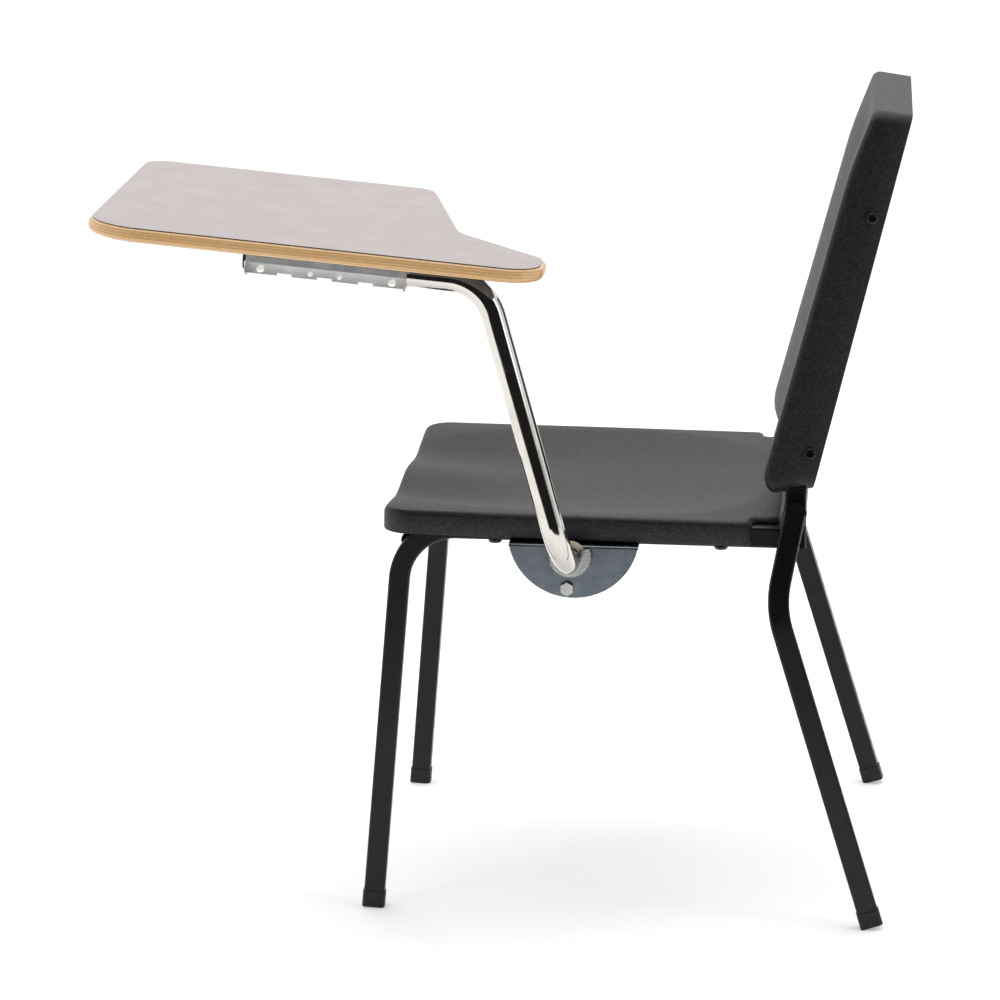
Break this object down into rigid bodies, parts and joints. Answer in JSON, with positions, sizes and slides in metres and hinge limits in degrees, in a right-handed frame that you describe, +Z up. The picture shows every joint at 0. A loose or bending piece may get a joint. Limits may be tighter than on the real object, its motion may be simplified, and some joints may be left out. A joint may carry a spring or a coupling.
{
  "type": "student desk chair",
  "caption": "Four-legged stacking student chair with a moulded seat and back and a flip-up writing tablet on a swinging tubular arm at the sitter's left",
  "frame": {"origin": "On the floor, in the chair's middle plane, halfway from the front foot axis to the rear foot axis", "axes": "+X to the sitter's left (the tablet's side), -Y the way the sitter faces, +Z up"},
  "size_m": [0.6575, 0.8352, 0.8506],
  "materials": {
    "black_powder_coat": "satin",
    "black_cap_plastic": "matte",
    "black_shell_plastic": "matte",
    "black_screw": "satin",
    "zinc_sheet": "satin",
    "zinc_hardware": "satin",
    "nylon": "matte",
    "chrome_tube": "polished",
    "plywood": "satin",
    "grey_laminate": "satin",
    "backing_sheet": "matte"
  },
  "bodies": {
    "chair": {"side_frame_left": "black_powder_coat", "side_frame_right": "black_powder_coat", "upright_left": "black_powder_coat", "upright_right": "black_powder_coat", "rear_leg_left": "black_powder_coat", "rear_leg_right": "black_powder_coat", "front_cross_tube": "black_powder_coat", "rear_cross_tube": "black_powder_coat", "foot_front_left": "black_cap_plastic", "foot_front_right": "black_cap_plastic", "foot_rear_left": "black_cap_plastic", "foot_rear_right": "black_cap_plastic", "seat_shell": "black_shell_plastic", "seat_screws": "black_screw", "back_shell": "black_shell_plastic", "back_screws": "black_screw", "pivot_bracket": "zinc_sheet", "bracket_bolts": "zinc_hardware", "pivot_bushes": "nylon", "stop_bolt": "zinc_hardware", "stop_sleeve": "zinc_hardware", "stop_nut": "zinc_hardware"},
    "arm": {"pivot_shaft": "zinc_hardware", "toothed_sector": "zinc_hardware", "thrust_washer": "nylon", "stop_cam": "zinc_hardware", "retaining_washer": "zinc_hardware", "retaining_nut": "zinc_hardware", "arm_tube": "chrome_tube", "arm_end_plug": "black_cap_plastic", "retaining_ring": "zinc_hardware", "stop_collar": "zinc_hardware"},
    "tablet": {"tablet_bracket": "zinc_sheet", "hinge_end_plates": "zinc_sheet", "hinge_bushes": "nylon", "tablet_core": "plywood", "tablet_laminate": "grey_laminate", "tablet_backer": "backing_sheet", "tablet_screws": "zinc_hardware"}
  },
  "joints": [
    {"name": "arm_swing", "type": "hinge", "parent": "chair", "child": "arm", "pos_m": [0.2315, -0.053, 0.3915], "axis": [-1, 0, 0], "range_deg": [0, 60]},
    {"name": "tablet_flip", "type": "hinge", "parent": "arm", "child": "tablet", "pos_m": [0.305, -0.29306, 0.709], "axis": [0, 0.995, -0.1002], "range_deg": [0, 90]}
  ]
}
